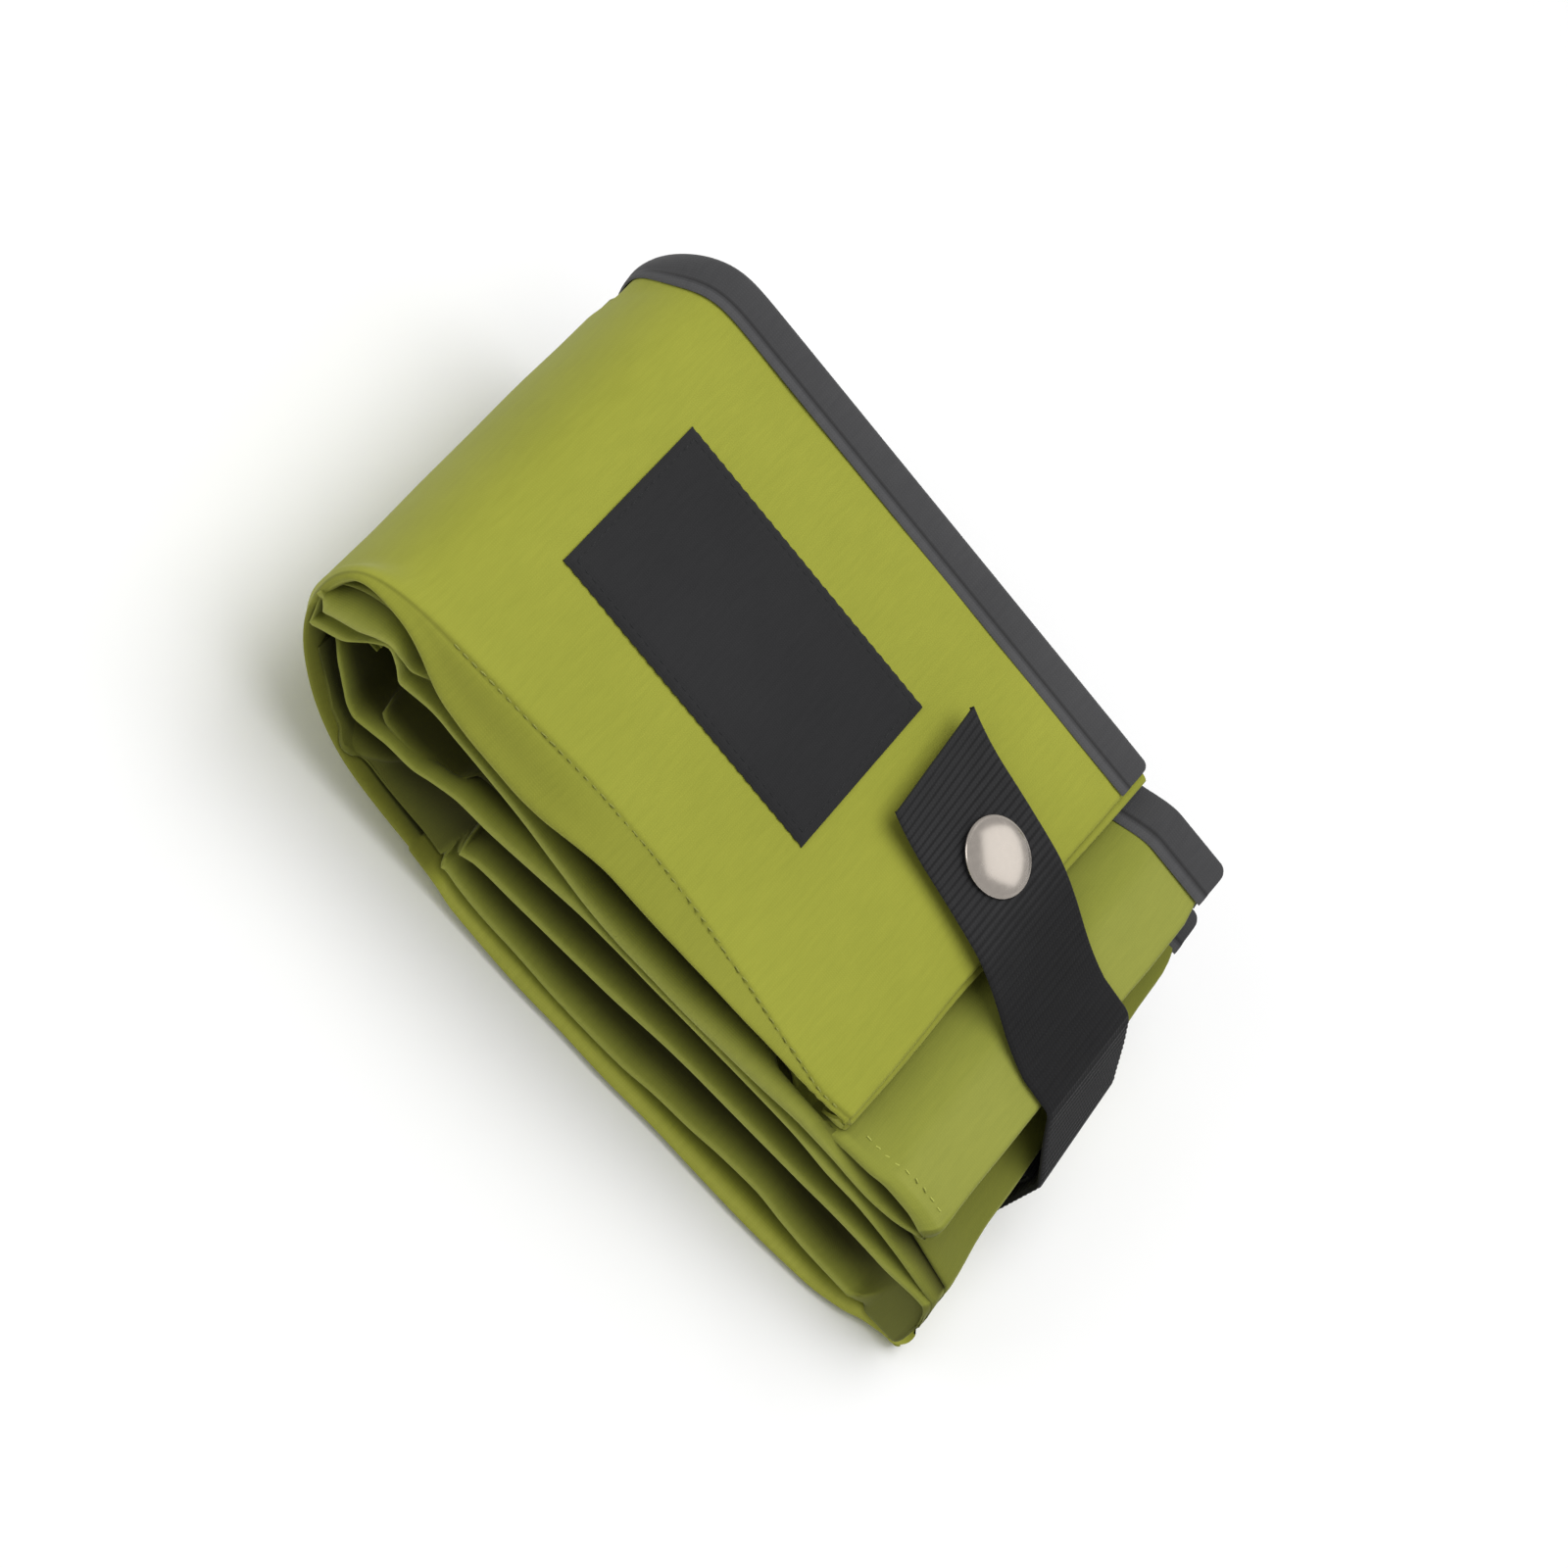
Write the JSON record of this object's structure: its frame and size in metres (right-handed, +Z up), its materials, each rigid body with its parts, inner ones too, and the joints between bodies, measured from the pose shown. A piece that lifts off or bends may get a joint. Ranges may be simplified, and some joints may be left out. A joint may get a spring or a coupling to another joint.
{
  "type": "foldable litter box",
  "caption": "Soft-walled travel litter box, flattened, folded in half and held by a webbing strap with a press snap.",
  "frame": {"origin": "under the middle of the folded pack, on the surface it lies on", "axes": "+X from the spine to the open end with the strap, +Y from the floor side of the walls to their rim, +Z up"},
  "size_m": [0.215, 0.128, 0.0736],
  "materials": {
    "woven_cloth": "matt tightly woven polyester, yellow green",
    "inner_cloth": "matt woven polyester, in shade",
    "coated_lining": "smooth water-resistant coating",
    "stiffener_board": "plain board",
    "binding_tape": "matt folded tape, dark grey",
    "strap_webbing": "ribbed webbing, near black",
    "label_patch": "matt dark grey patch",
    "snap_metal": "satin nickel"
  },
  "bodies": {
    "right_half": {"front_cover_right": "woven_cloth", "front_board_right": "stiffener_board", "front_board_binding_right": "binding_tape", "end_wall_front_right": "inner_cloth", "end_wall_front_binding_right": "binding_tape", "end_wall_back_right": "inner_cloth", "end_wall_back_binding_right": "binding_tape", "floor_front_right": "coated_lining", "floor_back_right": "coated_lining", "back_board_right": "stiffener_board", "back_board_binding_right": "binding_tape", "back_cover_right": "woven_cloth", "corner_front_right": "woven_cloth", "corner_back_right": "woven_cloth", "loop_patch": "strap_webbing", "spine_cover": "woven_cloth", "spine_lining": "coated_lining", "spine_binding": "binding_tape", "back_wall_fold": "woven_cloth"},
    "left_half": {"front_cover_left": "woven_cloth", "front_board_left": "stiffener_board", "front_board_binding_left": "binding_tape", "end_wall_front_left": "inner_cloth", "end_wall_front_binding_left": "binding_tape", "end_wall_back_left": "inner_cloth", "end_wall_back_binding_left": "binding_tape", "floor_front_left": "coated_lining", "floor_back_left": "coated_lining", "back_board_left": "stiffener_board", "back_board_binding_left": "binding_tape", "back_cover_left": "woven_cloth", "corner_front_left": "woven_cloth", "corner_back_left": "woven_cloth", "label_patch": "label_patch", "snap_stud": "snap_metal", "snap_washer": "snap_metal", "strap_bend": "strap_webbing"},
    "strap_flap": {"strap_flap": "strap_webbing", "snap_cap": "snap_metal", "snap_socket": "snap_metal"},
    "strap_tail": {"strap_tail": "strap_webbing", "hook_patch": "strap_webbing"}
  },
  "joints": [
    {"name": "half_fold", "type": "hinge", "parent": "right_half", "child": "left_half", "pos_m": [-0.101, 0, 0.03543], "axis": [0, -0.9991, -0.0415], "range_deg": [0, 182], "deforming": ["spine_cover", "spine_lining", "spine_binding", "back_wall_fold"]},
    {"name": "flap_lift", "type": "hinge", "parent": "left_half", "child": "strap_flap", "pos_m": [0.0795, 0.0005, 0.0514], "axis": [0, 0.994, 0.1091], "range_deg": [0, 115]},
    {"name": "tail_swing", "type": "hinge", "parent": "left_half", "child": "strap_tail", "pos_m": [0.09245, -0.00082, 0.04557], "axis": [0, -0.994, -0.1091], "range_deg": [0, 100]}
  ]
}
